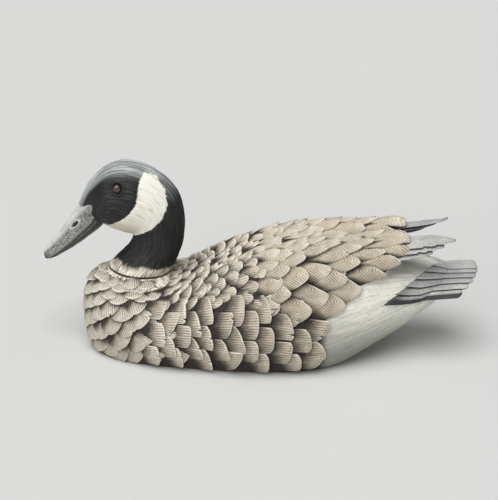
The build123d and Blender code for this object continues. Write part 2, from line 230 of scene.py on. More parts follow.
class Field:
    """Signed distance to a skin, in metres, sampled on a grid."""

    def __init__(self, vertices, quads, blur):
        grid = openvdb.FloatGrid.createLevelSetFromPolygons(
            vertices.astype(np.float32), quads=quads.astype(np.uint32),
            transform=openvdb.createLinearTransform(voxelSize=PITCH), halfWidth=BAND)
        self.low = np.floor((vertices.min(0) - GRID_MARGIN) / PITCH).astype(int)
        shape = np.ceil((vertices.max(0) + GRID_MARGIN) / PITCH).astype(int) - self.low
        values = np.empty(tuple(shape), np.float32)
        grid.copyToArray(values, ijk=tuple(int(i) for i in self.low))
        self.set(blurred(values.astype(float), blur))

    def points(self):
        """Places of all grid points."""
        index = np.moveaxis(np.indices(self.values.shape), 0, -1) + self.low
        return index * PITCH

    def set(self, values):
        self.values = values
        self.slope = np.stack(np.gradient(values, PITCH), axis=-1)

    def sample(self, table, p):
        x = p / PITCH - self.low
        i = np.clip(np.floor(x).astype(int), 0, np.array(self.values.shape) - 2)
        f = np.clip(x - i, 0, 1)
        total = 0.0
        for corner, w in cell_corners(f):
            got = table[tuple(np.moveaxis(i + corner, -1, 0))]
            total = total + (w[..., None] * got if got.ndim > w.ndim else w * got)
        return total

    def distance(self, p):
        return self.sample(self.values, p)

    def normal(self, p):
        return unit(self.sample(self.slope, p))

    def project(self, p, steps=5):
        """Nearest points on the skin."""
        for _ in range(steps):
            p = p - self.distance(p)[..., None] * self.normal(p)
        return p

    def mesh(self, offset, lowest):
        """Vertices and quads of the skin at this distance outside it, cut flat at the lowest height."""
        values = np.maximum(self.values, lowest - self.points()[..., 2] + offset)
        grid = openvdb.FloatGrid(float(values.max()))
        grid.copyFromArray(values.astype(np.float32), ijk=tuple(int(i) for i in self.low))
        grid.transform = openvdb.createLinearTransform(voxelSize=PITCH)
        vertices, quads = grid.convertToQuads(offset)
        mesh = bpy.data.meshes.new("skin_source")
        mesh.from_pydata(vertices.tolist(), [], quads.tolist())
        shell = bmesh.new()
        shell.from_mesh(mesh)
        bpy.data.meshes.remove(mesh)
        return main_island(shell)


def body_field():
    """Distance to the carved body's underlying form, softened, with its base kept flat."""
    vertices, quads = outer_shell(SKIN_NODES, REMESH_PITCH)
    field = Field(vertices, quads, blur=1.3)
    z = field.points()[..., 2]
    field.set(np.maximum(field.values, -z))
    return field


# ---------------------------------------------------------------- node helpers
class Paint:
    """A material's node tree, built one node at a time."""

    def __init__(self, name):
        self.material = bpy.data.materials.new(name)
        self.material.use_nodes = True
        self.tree = self.material.node_tree
        self.shader = next(n for n in self.tree.nodes if n.type == "BSDF_PRINCIPLED")

    def put(self, socket, value):
        if isinstance(value, bpy.types.NodeSocket):
            self.tree.links.new(value, socket)
        else:
            socket.default_value = value

    def node(self, kind, inputs=None, output=0, **settings):
        made = self.tree.nodes.new(kind)
        for key, value in settings.items():
            setattr(made, key, value)
        for key, value in (inputs or {}).items():
            self.put(made.inputs[key], value)
        return made.outputs[output]

    def attribute(self, name):
        return self.node("ShaderNodeAttribute", attribute_name=name, output="Fac")

    def attributes(self, names):
        return [self.attribute(name) for name in names.split()]

    def noise(self, scale, detail=3.0, rough=0.55, stretch=(1, 1, 1)):
        place = self.node("ShaderNodeTexCoord", output="Object")
        vector = self.node("ShaderNodeMapping", {"Vector": place, "Scale": stretch})
        inputs = {"Vector": vector, "Scale": scale, "Detail": detail, "Roughness": rough}
        return self.node("ShaderNodeTexNoise", inputs)

    def math(self, operation, a, b=0.0):
        return self.node("ShaderNodeMath", {0: a, 1: b}, operation=operation)

    def ramp(self, value, low, high, start=0.0, end=1.0):
        """Value mapped smoothly from low..high to start..end."""
        return self.node(
            "ShaderNodeMapRange",
            {"Value": value, "From Min": low, "From Max": high, "To Min": start, "To Max": end},
            interpolation_type="SMOOTHSTEP")

    def mix(self, factor, a, b):
        made = self.tree.nodes.new("ShaderNodeMix")
        made.data_type = "RGBA"
        self.put(made.inputs[0], factor)
        self.put(made.inputs[6], a)
        self.put(made.inputs[7], b)
        return made.outputs[2]

    def times(self, a, b):
        return self.math("MULTIPLY", a, b)

    def over(self, colour, cover, share, paint):
        """Colour with a share of a paint over it, where an attribute says."""
        return self.mix(self.times(self.attribute(cover), share), colour, rgb(*paint))

    def specks(self, colour, pattern, low, high, share, paint):
        """Colour with a share of a paint over it, where a pattern runs from low to high."""
        return self.mix(self.ramp(pattern, low, high, 0.0, share), colour, paint)

    def finish(self, colour, cloud, smoothest, roughest, bump=None, bump_distance=0.0001, **sockets):
        """The material, rougher as the cloud rises, with the bump distance in metres."""
        self.put(self.shader.inputs["Base Color"], colour)
        self.put(self.shader.inputs["Roughness"], self.ramp(cloud, 0.3, 0.7, smoothest, roughest))
        if bump is not None:
            normal = self.node("ShaderNodeBump", {"Height": bump, "Distance": bump_distance, "Strength": 1.0})
            self.put(self.shader.inputs["Normal"], normal)
        for key, value in sockets.items():
            self.put(self.shader.inputs[key.replace("_", " ")], value)
        return self.material


def rgb(r, g, b):
    """Colour as it looks on screen, 0 to 255, turned into Blender's linear values."""
    linear = [((v / 255 + 0.055) / 1.055) ** 2.4 if v > 10 else v / 255 / 12.92 for v in (r, g, b)]
    return (*linear, 1.0)


def wave(p, phase, wobble=0.5):
    """Barb lines from 0 to 1 across a phase, a little irregular."""
    bent = p.math("ADD", phase, p.times(p.noise(700, detail=2), wobble))
    return p.ramp(p.math("SINE", p.times(bent, 2 * math.pi)), -1, 1)


def crevice_shade_depth(p, tone, warm):
    """How far the painted shade and dark washes reach out from under the covering feathers, in mm."""
    return p.times(p.ramp(tone, 0, 1, 2.7, 6.4), p.ramp(warm, 0.55, 1.0, 1.0, 0.5))


def feather_paint():
    """Matte washes on carved feathers: painted shade in the crevices, with dark washes there, and pale along
    the tips.
    """
    p = Paint("feather_paint")
    tone, warm, chance = p.attributes("tone warm chance")
    cover, edge, groove = p.attributes("cover edge groove")
    barbs = wave(p, p.attribute("phase"))
    blotch = p.noise(220, detail=4)
    brown = p.mix(warm, rgb(98, 84, 68), rgb(236, 220, 195))
    dull = p.mix(blotch, rgb(162, 156, 140), rgb(190, 184, 168))
    base = p.mix(tone, dull, brown)
    light = p.mix(tone, rgb(246, 242, 229), p.mix(warm, rgb(214, 201, 178), rgb(252, 243, 224)))
    colour = p.mix(p.ramp(p.attribute("reach"), 0.3, 7.0, 0.85, 0.1), base, light)
    colour = p.specks(colour, chance, 0, 1, 0.25, rgb(160, 138, 114))
    colour = p.specks(colour, p.noise(900, detail=2), 0.35, 0.7, 0.35, rgb(222, 210, 186))
    shade = p.mix(tone, rgb(50, 44, 35), rgb(34, 27, 21))
    colour = p.mix(p.times(groove, 0.15), colour, shade)
    faint = p.ramp(p.noise(350, detail=3), 0.35, 0.65, 0.25, 0.6)
    lines = p.times(p.ramp(barbs, 0.0, 0.8, 1.0, 0.0), p.times(faint, p.ramp(warm, 0.6, 1.0, 1.0, 0.65)))
    colour = p.mix(lines, colour, shade)
    pale_edge = p.times(p.ramp(edge, 0.2, 1.0, 0.95, 0.0), p.ramp(blotch, 0.25, 0.5, 0.5, 1.0))
    colour = p.mix(pale_edge, colour, rgb(244, 237, 220))
    # Painted shade, with dark washes, just beyond the tips of the covering feathers.
    crevice_shade = p.math("ADD", cover, p.times(p.math("SUBTRACT", p.noise(500, detail=3), 0.5), 3.0))
    colour = p.mix(p.ramp(crevice_shade, -1.2, crevice_shade_depth(p, tone, warm), 1.0, 0.0), colour, shade)
    grain = p.math("ADD", barbs, p.times(p.noise(3200, detail=2), 0.5))
    return p.finish(colour, blotch, 0.62, 0.8, grain, 0.0002)


def gap_shade_paint():
    """Near-black brown between the feathers: painted shade, with dark washes, where the skin shows."""
    p = Paint("gap_shade_paint")
    colour = p.mix(p.noise(300), rgb(30, 24, 19), rgb(56, 46, 36))
    return p.finish(colour, p.noise(260), 0.7, 0.85, p.noise(1500, detail=3), 0.0001)


def rump_paint():
    """Off-white with fine hair strokes, with painted shade low down and where it runs in under the flanks."""
    p = Paint("rump_paint")
    hair, dusk = p.attributes("hair dusk")
    soft = p.noise(120, detail=4)
    colour = p.mix(p.ramp(hair, 0.2, 0.6), rgb(204, 204, 192), rgb(238, 236, 224))
    colour = p.specks(colour, soft, 0.35, 0.65, 0.3, rgb(212, 211, 199))
    fine = p.noise(1300, detail=3, stretch=(0.1, 1, 1))
    colour = p.specks(colour, fine, 0.45, 0.75, 0.3, rgb(132, 135, 128))
    # Painted shade: darker low down, and near black where the rump runs in under the flanks.
    colour = p.over(colour, "low", 0.8, (116, 116, 107))
    colour = p.mix(dusk, colour, rgb(40, 36, 32))
    return p.finish(colour, soft, 0.6, 0.75, fine, 0.00014)


def collar_paint():
    """Cream hair strokes, paler against the neck: painted light against the shade in the groove round the
    neck's foot.
    """
    p = Paint("collar_paint")
    hair, out = p.attributes("hair out")
    colour = p.mix(p.ramp(hair, 0.3, 0.6), rgb(120, 112, 98), rgb(222, 216, 200))
    # Paler towards the neck: painted light to offset the shade in the groove round the neck's foot.
    colour = p.mix(p.ramp(out, 0.0, 0.5, 0.3, 0.0), colour, rgb(236, 231, 216))
    return p.finish(colour, p.noise(200), 0.6, 0.78, p.noise(1500, detail=3), 0.0001)


def head_paint():
    """Black with grey hair strokes, a painted sheen on the crown, and a white cheek with painted shade under
    the chin.
    """
    p = Paint("head_paint")
    hair, white, crown = p.attributes("hair white crown")
    soft = p.noise(110, detail=4)
    black = p.mix(p.ramp(hair, 0.42, 0.75), rgb(5, 5, 6), rgb(34, 34, 35))
    # Painted sheen on the crown: pale grey over the black.
    highlight_and_pale = p.mix(p.ramp(hair, 0.35, 0.65), rgb(118, 123, 120), rgb(186, 191, 187))
    black = p.mix(p.times(crown, p.ramp(soft, 0.3, 0.6, 0.75, 1.0)), black, highlight_and_pale)
    straw = p.mix(p.ramp(hair, 0.3, 0.6), rgb(132, 124, 108), rgb(222, 216, 200))
    black = p.mix(p.attribute("cream"), black, straw)
    pale = p.mix(p.ramp(hair, 0.2, 0.5), rgb(216, 210, 190), rgb(240, 238, 226))
    # Painted shade on the lower cheek, under the chin.
    pale = p.over(pale, "chin", 0.5, (176, 164, 138))
    colour = p.mix(white, black, pale)
    fine = p.noise(2300, detail=3)
    return p.finish(colour, soft, 0.45, 0.62, fine, 0.00006)


def bill_paint():
    """Dark grey with a painted highlight along the culmen, lighter round the nostril's rim and along the
    lips, and painted shade low on its sides.
    """
    p = Paint("bill_paint")
    speckle = p.noise(1500, detail=4, rough=0.7)
    soft = p.noise(170, detail=3)
    colour = p.mix(p.ramp(speckle, 0.35, 0.68), rgb(58, 59, 60), rgb(168, 169, 166))
    # Painted highlight along the culmen, and the nostril's rim lighter too.
    culmen_highlight_and_rim = p.math("MAXIMUM", p.attribute("culmen"), p.attribute("rim"))
    highlight_and_pale = p.times(culmen_highlight_and_rim, p.ramp(soft, 0.25, 0.6, 0.55, 0.9))
    colour = p.mix(highlight_and_pale, colour, rgb(210, 210, 204))
    # Painted shade low on the bill's sides.
    colour = p.over(colour, "low", 0.75, (30, 30, 31))
    colour = p.over(colour, "lip", 0.6, (140, 139, 132))
    dark = p.math("MAXIMUM", p.attribute("mouth"), p.attribute("hole"))
    dark = p.math("MAXIMUM", dark, p.times(p.attribute("tip"), 0.8))
    colour = p.mix(dark, colour, rgb(20, 20, 20))
    return p.finish(colour, soft, 0.42, 0.58, speckle, 0.00012)


def quill_paint():
    """Grey flight feathers: barbs, a light shaft and a pale edge from wear, near black underneath, with
    painted shadow where one tail feather lies under the next.
    """
    p = Paint("quill_paint")
    barbs = wave(p, p.attribute("phase"), 0.35)
    soft = p.noise(160, detail=4)
    colour = p.mix(p.ramp(soft, 0.3, 0.7), rgb(208, 208, 205), rgb(236, 236, 231))
    colour = p.mix(p.ramp(p.attribute("chance"), 0, 1, 0.0, 0.35), colour, rgb(128, 128, 129))
    colour = p.specks(colour, p.noise(1400, detail=3), 0.45, 0.7, 0.5, rgb(118, 118, 119))
    colour = p.mix(p.ramp(barbs, 0.0, 0.7, 0.42, 0.0), colour, rgb(50, 50, 52))
    colour = p.mix(p.ramp(p.attribute("edge"), 0.15, 0.7, 0.8, 0.0), colour, rgb(190, 190, 188))
    colour = p.over(colour, "shaft", 0.4, (160, 160, 158))
    # Painted shadow where a tail feather lies under its neighbour and painted shade at the outer roots under
    # the rump, with the outermost feather's black margin.
    colour = p.over(colour, "gap", 0.95, (18, 18, 19))
    colour = p.over(colour, "under", 0.92, (26, 26, 27))
    grain = p.math("ADD", barbs, p.times(p.noise(2500, detail=2), 0.6))
    return p.finish(colour, soft, 0.5, 0.7, grain, 0.0002)


def wood_paint(name, dark, light):
    """Wood with grain along the bird."""
    p = Paint(name)
    grain = p.noise(90, detail=6, rough=0.65, stretch=(0.12, 1, 1))
    fine = p.noise(900, detail=3, stretch=(0.08, 1, 1))
    colour = p.mix(p.ramp(grain, 0.35, 0.65), dark, light)
    colour = p.specks(colour, fine, 0.5, 0.75, 0.4, dark)
    return p.finish(colour, grain, 0.6, 0.8, fine, 0.00012)


def metal_paint(name, dark, light, metallic, rough, scale):
    """Metal, dulled and pitted."""
    p = Paint(name)
    cloud, pits = p.noise(240, detail=5), p.noise(scale, detail=3)
    colour = p.mix(p.ramp(cloud, 0.35, 0.65), dark, light)
    colour = p.specks(colour, pits, 0.6, 0.75, 0.5, dark)
    return p.finish(colour, cloud, rough, rough + 0.2, pits, 0.00006,
                    Metallic=metallic)


def leather_paint():
    """Waxed brown leather."""
    p = Paint("leather_paint")
    grain = p.noise(1100, detail=4)
    colour = p.mix(p.ramp(grain, 0.35, 0.65), rgb(62, 38, 24), rgb(98, 64, 42))
    return p.finish(colour, p.noise(300), 0.5, 0.7, grain, 0.00015)


def paint_hardware():
    """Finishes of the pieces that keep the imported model's shape."""
    finishes = {
        wood_paint("underside_paint", rgb(44, 36, 29), rgb(78, 66, 53)): ("lower_body",),
        wood_paint("bare_wood", rgb(142, 104, 66), rgb(196, 156, 108)): (
            "body_dowels", "head_dowel", "bill_dowel"),
        metal_paint("cast_weight", rgb(52, 52, 54), rgb(84, 84, 86), 0.8, 0.55, 1200): ("ballast_weight",),
        metal_paint("steel", rgb(118, 118, 120), rgb(168, 168, 170), 1.0, 0.3, 2500): (
            "ballast_screws", "saddle_screws", "neck_bolt", "neck_washer", "spring_washer"),
        metal_paint("brass", rgb(124, 96, 48), rgb(186, 150, 84), 1.0, 0.32, 2500): (
            "line_ring", "ring_saddle", "neck_insert", "neck_bushing"),
        leather_paint(): ("seat_washer",)}
    for material, names in finishes.items():
        for name in names:
            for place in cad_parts[name].material_slots:
                place.material = material


def eye_paint():
    """Dark brown glass eye with a black pupil."""
    p = Paint("eye_paint")
    off = p.attribute("off")
    iris = p.mix(p.noise(2200, detail=3), rgb(40, 26, 20), rgb(92, 66, 52))
    colour = p.mix(p.ramp(off, 0.42, 0.52), rgb(6, 6, 7), iris)
    colour = p.mix(p.ramp(off, 0.95, 1.15), colour, rgb(14, 12, 11))
    return p.finish(colour, p.noise(900), 0.04, 0.1, p.noise(900), 0.00001,
                    Coat_Weight=1.0, Coat_Roughness=0.03)


# ---------------------------------------------------------------- feathers
class FeatherShape:
    """Closed wedge of a feather: rows along it and columns across it."""

    def __init__(self, rows, columns, tip_round, tip_power, root_half=0.55, tip_half=0.84, shaft=0.0):
        """A shaft's height in metres makes slanted barbs on either side of it, in place of ridges."""
        self.columns = columns
        self.tip_round, self.tip_power = tip_round, tip_power
        self.root_half, self.tip_half = root_half, tip_half
        self.shaft = shaft
        self.t, self.u = (places.ravel() for places in grid_places(rows, columns))
        top, self.rim = sheet(rows, columns)
        below = rows * columns + np.arange(len(self.rim))
        after, middle = np.roll(below, -1), np.full(len(below), below[-1] + 1)
        walls = np.stack([self.rim, np.roll(self.rim, -1), after, below], axis=-1)
        floor = np.stack([below, after, middle, middle], axis=-1)
        self.faces = np.concatenate([top, walls, floor])
        self.count = below[-1] + 2

    def outline(self, t, u, splits):
        """Places on the feather, along it from 0 to 1 and across it from -1 to 1."""
        half = self.root_half + (1 - self.root_half) * np.sin(np.clip(t / 0.6, 0, 1) * math.pi / 2)
        half = half * (1 - (1 - self.tip_half) * smooth(0.55, 1.0, t))
        along = t * (1 - self.tip_round * np.abs(u) ** self.tip_power)
        for place, depth in splits:
            along = along - depth * np.exp(-((u - place) / 0.06) ** 2) * smooth(0.5, 1.0, t)
        return along, u * half


SINK = 0.7 * MM               # of a feather's root into the skin
LOWEST = 0.05 * MM            # of any feather above the table
SPLIT_WIDTH = 8 * MM          # narrower feathers have whole tips
BARB_PITCH = {True: 1.35 * MM, False: 1.0 * MM}     # with a shaft and without


def lay_feathers(field, shape, feathers, random, camber=0.35 * MM, ridge=0.05 * MM, slant=0.08):
    """Vertices, faces and attributes of many feathers lying on a skin.

    Each feather is a dict: root and tip, width, lift of its tip off the skin, and how far behind
    its tip the tips of the feathers over it end.
    """
    all_points, all_faces = [], []
    values = {k: [] for k in ("cover", "reach", "edge", "groove", "chance", "phase", "tone", "warm")}
    offset = 0
    t, u = shape.t, shape.u
    column = np.round((u + 1) / 2 * (shape.columns - 1)).astype(int)
    rim_drop = np.maximum(np.abs(u), t) > 0.999
    rest = np.zeros(len(shape.rim) + 1)
    for feather in feathers:
        root, tip, width, rise = (feather[k] for k in ("root", "tip", "width", "lift"))
        length = np.linalg.norm(tip - root)
        forward = (tip - root) / length
        sideways = unit(np.cross(field.normal((root + tip)[None] / 2)[0], forward))
        splits = [(random.uniform(-0.75, 0.75), random.uniform(0.08, 0.2))
                  for _ in range(random.integers(0, 2))]
        splits = splits if width > SPLIT_WIDTH else []
        skew = random.normal(0, slant)

        def place(tt, uu):
            x, y = shape.outline(tt, uu, splits)
            x = x + skew * y
            flat = root + forward * (x * length)[:, None] + sideways * (y * width / 2)[:, None]
            return field.project(flat), x, y

        points, x, y = place(t, u)
        height = -SINK + (rise + SINK) * np.clip(x, 0, 1) ** 1.1 + camber * (0.4 + 0.6 * t) * (1 - u ** 2)
        height = height - 0.12 * MM * rim_drop
        groove = np.zeros(len(t))
        if shape.shaft:
            phase = (x * length - 1.1 * np.abs(y - 0.25) * width / 2) / BARB_PITCH[True]
            height = height + shape.shaft * np.exp(-(u / 0.1) ** 2) * (1 - smooth(0.9, 1.0, t))
        else:
            groove = (column % 2) * (1 - rim_drop) * smooth(0.1, 0.4, t)
            phase = y * width / 2 * (1.3 - 0.4 * x) / BARB_PITCH[False]
            height = height - ridge * groove
        points = points + field.normal(points) * height[:, None]
        points[:, 2] = np.maximum(points[:, 2], LOWEST)
        under, _, _ = place(0.5 + (t[shape.rim] - 0.5) * 0.88, u[shape.rim] * 0.88)
        under = under - field.normal(under) * (SINK + 0.5 * MM)
        under[:, 2] = np.maximum(under[:, 2], 2 * LOWEST)
        all_points.append(np.concatenate([points, under, under.mean(0, keepdims=True)]))
        all_faces.append(shape.faces + offset)
        offset += shape.count
        edge = np.minimum((1 - np.abs(u)) * width, (1 - t) * length) / MM
        near, beside = (length * shape.tip_round * a ** shape.tip_power for a in (np.abs(u), 1 - np.abs(u)))
        behind = np.minimum(feather["step"] + near, feather["step"] / 2 + beside)
        cover = behind - (1 - x) * length
        by_point = {"cover": cover / MM, "reach": (1 - x) * length / MM, "edge": edge, "groove": groove,
                    "phase": phase}
        for key, value in by_point.items():
            values[key].append(np.concatenate([value, rest]))
        for key, value in (("chance", random.random()), ("tone", feather["tone"]), ("warm", feather["warm"])):
            values[key].append(np.full(shape.count, value))
    return joined(all_points), joined(all_faces), joined(values)


def tidy_faces(faces):
    """Quads, with those whose last two corners are the same as triangles."""
    return [f[:3] if f[2] == f[3] else f for f in faces.tolist()]


class Patch:
    """Smooth surface through guide lines: s runs along each, c from the first line to the last."""

    def __init__(self, guides, side):
        self.guides = np.array(guides, float) * MM * np.array([1, side, 1])

    def line(self, c, s):
        """Points at s along the line at c."""
        return curve_points(curve_points(self.guides, np.array([c]))[0], s)


def staggered(field, patch, lines, begins, ends, step, overlap, width, lift, tone, warm, random, jitter=0.08):
    """Feathers in staggered lines along a patch.

    The settings are numbers or functions of s and c, where s runs along each line from 0 to 1; begins
    and ends give each line's first and last s.
    """
    step, overlap, width, lift, tone, warm = (
        f if callable(f) else (lambda s, c, fixed=f: fixed) for f in (step, overlap, width, lift, tone, warm))
    feathers = []
    samples = np.linspace(0, 1, 120)
    for line in range(lines):
        c = (line + 0.5) / lines
        other = c + 1 / lines if c < 0.5 else c - 1 / lines
        track = field.project(patch.line(c, samples))
        beside = field.project(patch.line(other, samples))
        spacing = np.linalg.norm(beside - track, axis=1)
        run = np.concatenate([[0], np.cumsum(np.linalg.norm(np.diff(track, axis=0), axis=1))])
        first, last = np.interp([begins(c), ends(c)], samples, run)
        at = first + (line % 2) * 0.5 * step(begins(c), c)

        def on(table, distance):
            return np.array([np.interp(distance, run, table[:, k]) for k in range(3)])

        done = False
        while not done:
            done = at > last - 0.55 * step(ends(c), c)
            at = min(at, last)
            s = float(np.interp(at, run, samples))
            pitch, jolt = step(s, c), random.normal(0, jitter, 4)
            back = at - pitch - overlap(s, c)
            root = on(track, back) if back > 0 else track[0] + unit(track[3] - track[0]) * back
            tip = on(track, at)
            across = on(beside, at) - tip
            tip = tip + across * jolt[0] + (tip - root) * jolt[1]
            feathers.append({
                "root": root, "tip": tip, "step": pitch + (back <= 0) * 0.6 * overlap(s, c),
                "lift": lift(s, c) * (1 + 0.8 * jolt[3]),
                "width": 2 * np.interp(at, run, spacing) * width(s, c) * (1 + 0.6 * jolt[2]),
                "tone": tone(s, c), "warm": warm(s, c)})
            at += pitch * (1 + 0.5 * jolt[1])
    return feathers


def along(points):
    """Function of one number: straight lines through (x, value) pairs."""
    xs, values = zip(*points)
    return lambda x: float(np.interp(x, xs, values))


# Guide lines of the right side, in mm, from the middle of the bird outwards.
BREAST_GUIDES = [
    [(-73, 0, 36.5), (-78, 0, 31), (-81, 0, 22), (-81.3, 0, 12), (-78.5, 0, 1)],
    [(-70, 9, 37), (-74.5, 14, 30), (-77.5, 18, 20), (-76, 20, 9), (-71, 21, 0)],
    [(-65, 14, 37), (-67, 22, 30), (-65, 28.5, 19), (-59, 32, 9.5), (-49, 33, 1)],
    [(-56, 17, 36.5), (-55, 24, 32), (-49, 31.5, 23), (-40, 36, 15), (-27, 38, 8)],
    [(-47, 16, 35.5), (-44, 22, 33.5), (-38.5, 27, 29.5), (-32, 33, 26), (-24, 36, 24)],
]
FLANK_GUIDES = [
    [(-43, 28, 28), (-29, 34, 31), (-12, 34.5, 33.5), (4, 34.5, 34.5), (16, 33.5, 33), (27, 31, 29)],
    [(-44, 34, 17), (-29, 38.5, 18), (-12, 40, 19), (4, 40.5, 19), (18, 39.5, 18.5), (30, 35.5, 18)],
    [(-48, 32, 5.5), (-33, 36.5, 4.8), (-14, 38, 4.3), (2, 38.5, 4), (16, 37.5, 4), (30, 34, 5.5)],
]
WING_GUIDES = [
    [(-39, 1.5, 34.5), (-28, 1.5, 36), (-12, 1.5, 43.5), (10, 1.5, 50),
     (34, 1.5, 52.5), (52, 2, 53), (68, 6, 54)],
    [(-38.5, 9, 34.5), (-28, 12, 35.5), (-12, 13.5, 43), (10, 14, 49.5),
     (34, 13, 54), (52, 12, 55), (68, 10, 55)],
    [(-39, 17, 33.5), (-28, 23, 33), (-12, 26, 38), (10, 27, 45),
     (34, 24.5, 48), (52, 21.5, 49), (68, 15.5, 51)],
    [(-40, 24, 31), (-26, 32, 29.5), (-12, 35.5, 31), (10, 37.5, 31),
     (34, 36, 30), (52, 30, 31), (68, 20, 34)],
]


def feather_piece(field, name, side, shape, feathers, random, **look):
    points, faces, values = lay_feathers(field, shape, feathers, random, **look)
    return new_piece(f"{name}_{SIDE_NAME[side]}", points, tidy_faces(faces), PAINT["feather"], "body",
                     attributes=values)


def breast(field, side):
    random = np.random.default_rng(11 + side)
    shade = along([(0, 0.0), (0.8, 0.12), (1.4, 0.6)])
    feathers = staggered(
        field, Patch(BREAST_GUIDES, side), 9, begins=lambda c: 0.12, ends=lambda c: 1.0,
        step=lambda s, c: (6.3 + 2.8 * s) * MM, overlap=3.5 * MM, width=1.08,
        lift=1.0 * MM, tone=lambda s, c: shade(s + 0.5 * c), warm=0.3,
        random=random)
    feather_piece(field, "breast", side, FeatherShape(10, 25, 0.34, 2.1), feathers, random, ridge=0.08 * MM)


def flank(field, side):
    random = np.random.default_rng(23 + side)
    shade = along([(0, 0.35), (0.3, 0.8), (1, 1.0)])
    feathers = staggered(
        field, Patch(FLANK_GUIDES, side), 5, begins=lambda c: 0.07, ends=lambda c: 1.0,
        step=lambda s, c: (11 + 4.5 * s) * MM, overlap=5 * MM, width=0.97,
        lift=2.0 * MM, tone=lambda s, c: shade(s), warm=lambda s, c: 0.18 + 0.3 * c,
        random=random, jitter=0.05)
    shape = FeatherShape(12, 29, 0.09, 3.4, root_half=0.95, tip_half=0.98)
    feather_piece(field, "flank", side, shape, feathers, random, camber=0.5 * MM, ridge=0.09 * MM)


def mantle(field, side):
    random = np.random.default_rng(37 + side)
    patch = Patch(WING_GUIDES, side)
    size = along([(0, 5.6), (0.3, 8.0), (0.62, 11.5)])
    # Lighter and warmer towards the middle and back of the mantle: partly the feathers' own tones, partly
    # painted light on the top of the back.
    look = dict(
        step=lambda s, c: size(s) * MM, lift=lambda s, c: (1.1 + 0.8 * s) * MM,
        width=1.15, tone=lambda s, c: 0.3 + 0.7 * s + 0.2 * c,
        warm=lambda s, c: 0.6 + 0.6 * s - 0.45 * c, random=random, jitter=0.1)
    feathers = staggered(field, patch, 6, begins=lambda c: 0.03, ends=lambda c: 0.24,
                         overlap=2.5 * MM, **look)
    feathers += staggered(field, patch, 11, begins=lambda c: 0.24, overlap=3.5 * MM,
                          ends=along([(0, 0.62), (0.6, 0.56), (1, 0.5)]), **look)
    feather_piece(field, "mantle", side, FeatherShape(10, 17, 0.38, 2.2), feathers, random, slant=0.12)


def tertials(field, side):
    random = np.random.default_rng(53 + side)
    size = along([(0.45, 13), (0.7, 17), (1, 20)])
    last = along([(0, 0.925), (0.2, 0.965), (0.6, 0.975), (0.667, 0.965), (0.75, 0.92), (0.81, 0.855),
                  (0.87, 0.8), (0.9, 0.74), (1, 0.69)])
    # Lighter and warmer along the top lines: partly the feathers' own tones, partly painted light on the top
    # of the wing.
    feathers = staggered(
        field, Patch(WING_GUIDES, side), 11, begins=lambda c: 0.5, ends=last,
        step=lambda s, c: size(s) * MM, overlap=8 * MM, width=1.4,
        lift=lambda s, c: (1.5 + 0.8 * c) * MM, tone=lambda s, c: 0.6 + 0.3 * c,
        warm=lambda s, c: 1 - 0.5 * c, random=random, jitter=0.06)
    shape = FeatherShape(24, 17, 0.34, 1.6, root_half=0.85, tip_half=0.72, shaft=0.12 * MM)
    feather_piece(field, "tertials", side, shape, feathers, random, camber=0.6 * MM, slant=0.2)


# ---------------------------------------------------------------- sweeps
def swept(sections, rows, columns, lateral):
    """Closed rings round a bent form, with evenly spaced rows along its far side.

    Each section is X and Z of its near side, X and Z of its far side, half width. lateral turns the
    height in a section, from 0 to 1, and the place along, into its share of the half width.
    """
    fine = np.linspace(0, 1, 500)
    far = curve_points(sections, fine)[:, 2:4]
    run = np.concatenate([[0], np.cumsum(np.linalg.norm(np.diff(far, axis=0), axis=1))])
    s = np.interp(np.linspace(0, 1, rows) * run[-1], run, fine)
    knots = curve_points(sections, s)
    angle = np.linspace(0, 2 * math.pi, columns, endpoint=False)
    v = (1 - np.cos(angle)) / 2
    near, far = knots[:, None, :2], knots[:, None, 2:4]
    xz = near + (far - near) * v[None, :, None]
    y = knots[:, 4:5] * lateral(v, angle)[None, :]
    points = np.stack([xz[..., 0], y, xz[..., 1]], axis=-1)
    return points, *np.meshgrid(s, v, indexing="ij"), np.tile(angle, (rows, 1))


def grid_normals(points):
    """Outward normals of a grid of rings."""
    around = np.roll(points, -1, 1) - np.roll(points, 1, 1)
    along_it = np.gradient(points, axis=0)
    return unit(np.cross(along_it, around))


SEAT_CENTRE, SEAT_LEAN = (-55.5, 0, 36), math.radians(6)
# Sections of neck and head in mm: X and Z at the throat, X and Z at the nape and crown, half width.
HEAD_SECTIONS = np.array([
    (-69.8, 37.45, -41.2, 34.45, 14.35), (-67.0, 40.2, -38.9, 38.6, 12.8), (-63.4, 43.6, -37.2, 43.0, 11.3),
    (-60.4, 46.8, -35, 49, 10.1), (-58.6, 49.6, -34.3, 57, 9.7), (-58.0, 51.6, -34.7, 65, 9.8),
    (-58.2, 52.5, -37, 72.6, 10.3), (-59.4, 52.9, -43, 80, 11.2), (-62.0, 53.6, -52.2, 85.4, 12.2),
    (-66, 55.0, -61.6, 86.7, 12.4), (-67.8, 55.8, -69.8, 83.8, 11.7), (-69.2, 56.6, -76.9, 77.0, 9.6),
    (-70, 57.2, -80.5, 70.8, 7.9), (-70.8, 57.8, -82.6, 66.2, 6.3)])
BILL_SECTIONS = np.array([
    (-70.0, 59.0, -81.0, 67.0, 6.2), (-73.0, 54.9, -83.7, 64.4, 6.7), (-78, 50.9, -86.7, 60.3, 6.3),
    (-82.5, 47.5, -90, 55.8, 5.9), (-87, 44.3, -93.5, 51.3, 5.7), (-91, 41.9, -96.9, 47.4, 5.5),
    (-95.3, 39.5, -99.8, 44.3, 5.0), (-98.7, 38.6, -100.7, 41.9, 3.2)])
